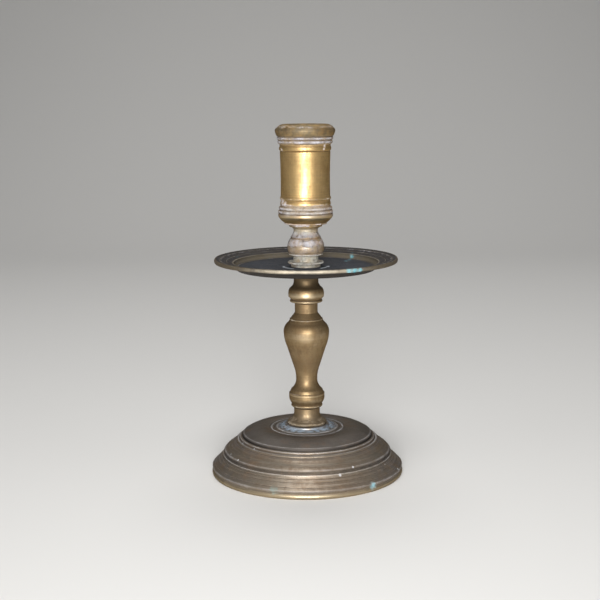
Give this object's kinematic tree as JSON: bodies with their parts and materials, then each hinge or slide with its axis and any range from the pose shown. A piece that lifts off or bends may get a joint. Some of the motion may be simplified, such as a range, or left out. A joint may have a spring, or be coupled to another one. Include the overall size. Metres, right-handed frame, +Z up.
{
  "type": "candlestick",
  "caption": "Brass candlestick: hollow stepped round base, baluster stem, wide mid drip pan and a moulded candle socket on a knop, screwed together.",
  "frame": {"origin": "centre of the ring that the base stands on, at floor height", "axes": "+Z up along the common turned axis, out of the socket's mouth"},
  "size_m": [0.1414, 0.1414, 0.2557],
  "materials": {
    "base": "aged, dull, fine lathe lines, residue in the grooves",
    "stem": "aged, satin",
    "drip_pan": "aged, dull, bright worn rim, spots of verdigris",
    "socket": "aged, handled bright, white residue in the grooves"
  },
  "bodies": {
    "root": {"base": "base", "stem": "stem", "drip_pan": "drip_pan", "socket": "socket"}
  },
  "joints": []
}
